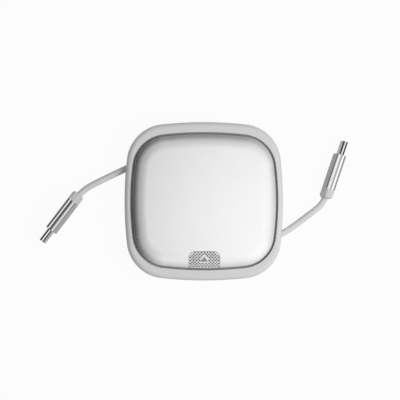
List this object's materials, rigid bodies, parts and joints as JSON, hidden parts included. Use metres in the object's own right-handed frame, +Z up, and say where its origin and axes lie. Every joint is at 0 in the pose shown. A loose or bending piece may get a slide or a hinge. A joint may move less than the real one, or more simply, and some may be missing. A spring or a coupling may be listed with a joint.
{
  "type": "retractable charging cable",
  "caption": "Rounded-square puck with a sprung spool, a thumb brake release and a short lead with a flat charging plug out of each side.",
  "frame": {"origin": "middle of the flat base, on the surface that the puck lies on", "axes": "+Z up out of the face, +Y towards the top of the face, away from the thumb pad, and +X to the right"},
  "size_m": [0.1464, 0.075, 0.0168],
  "materials": {
    "housing_plastic": "fine matte moulded light grey",
    "plate_metal": "satin silver",
    "button_plastic": "silver grey with fine raised dots",
    "cable_jacket": "smooth light grey jacket",
    "collar_plastic": "fine matte light grey",
    "plug_metal": "polished grey metal",
    "steel": "bright drawn steel",
    "spring_steel": "rolled spring strip",
    "insert_plastic": "moulded black",
    "contact_metal": "gold plated strip",
    "spool_plastic": "natural moulded",
    "brake_rubber": "moulded friction rubber"
  },
  "bodies": {
    "housing": {"lower_housing": "housing_plastic", "upper_housing": "housing_plastic", "face_plate": "plate_metal", "axle_screw": "steel", "spool_axle": "steel", "lever_pin": "steel", "brake_spring": "spring_steel"},
    "spool": {"spool_drum": "spool_plastic", "spool_cap": "spool_plastic", "cable_coil": "cable_jacket", "clock_spring": "spring_steel"},
    "thumb_button": {"release_button": "button_plastic"},
    "brake": {"brake_lever": "spool_plastic", "brake_pad": "brake_rubber"},
    "left_lead": {"left_cable": "cable_jacket", "left_cable_feed": "cable_jacket", "left_plug_collar": "collar_plastic", "left_plug_sleeve": "plug_metal", "left_plug_shell": "steel", "left_plug_insert": "insert_plastic", "left_plug_contacts": "contact_metal"},
    "right_lead": {"right_cable": "cable_jacket", "right_cable_feed": "cable_jacket", "right_plug_collar": "collar_plastic", "right_plug_sleeve": "plug_metal", "right_plug_shell": "steel", "right_plug_insert": "insert_plastic", "right_plug_contacts": "contact_metal"}
  },
  "joints": [
    {"name": "spool_spin", "type": "hinge", "parent": "housing", "child": "spool", "pos_m": [0, 0, 0.006], "axis": [0, 0, 1], "range_deg": [0, 40], "deforming": ["clock_spring"]},
    {"name": "left_pull", "type": "slide", "parent": "housing", "child": "left_lead", "axis": [-0.9003, -0.4352, 0], "range_m": [0, 0.021]},
    {"name": "right_pull", "type": "slide", "parent": "housing", "child": "right_lead", "axis": [0.9003, 0.4352, 0], "range_m": [0, 0.021]},
    {"name": "button_press", "type": "slide", "parent": "housing", "child": "thumb_button", "axis": [0, 0, -1], "range_m": [0, 0.0007], "stiffness_N_per_m": 300, "deforming": ["brake_spring"]},
    {"name": "lever_tilt", "type": "hinge", "parent": "housing", "child": "brake", "pos_m": [0, -0.0211, 0.0105], "axis": [1, 0, 0], "range_deg": [0, 6.2]}
  ],
  "couplings": [
    {"joint": "left_pull", "follows": "spool_spin", "m_per_rad": 0.03005},
    {"joint": "right_pull", "follows": "spool_spin", "m_per_rad": 0.03005},
    {"joint": "lever_tilt", "follows": "button_press", "rad_per_m": 153.85}
  ]
}
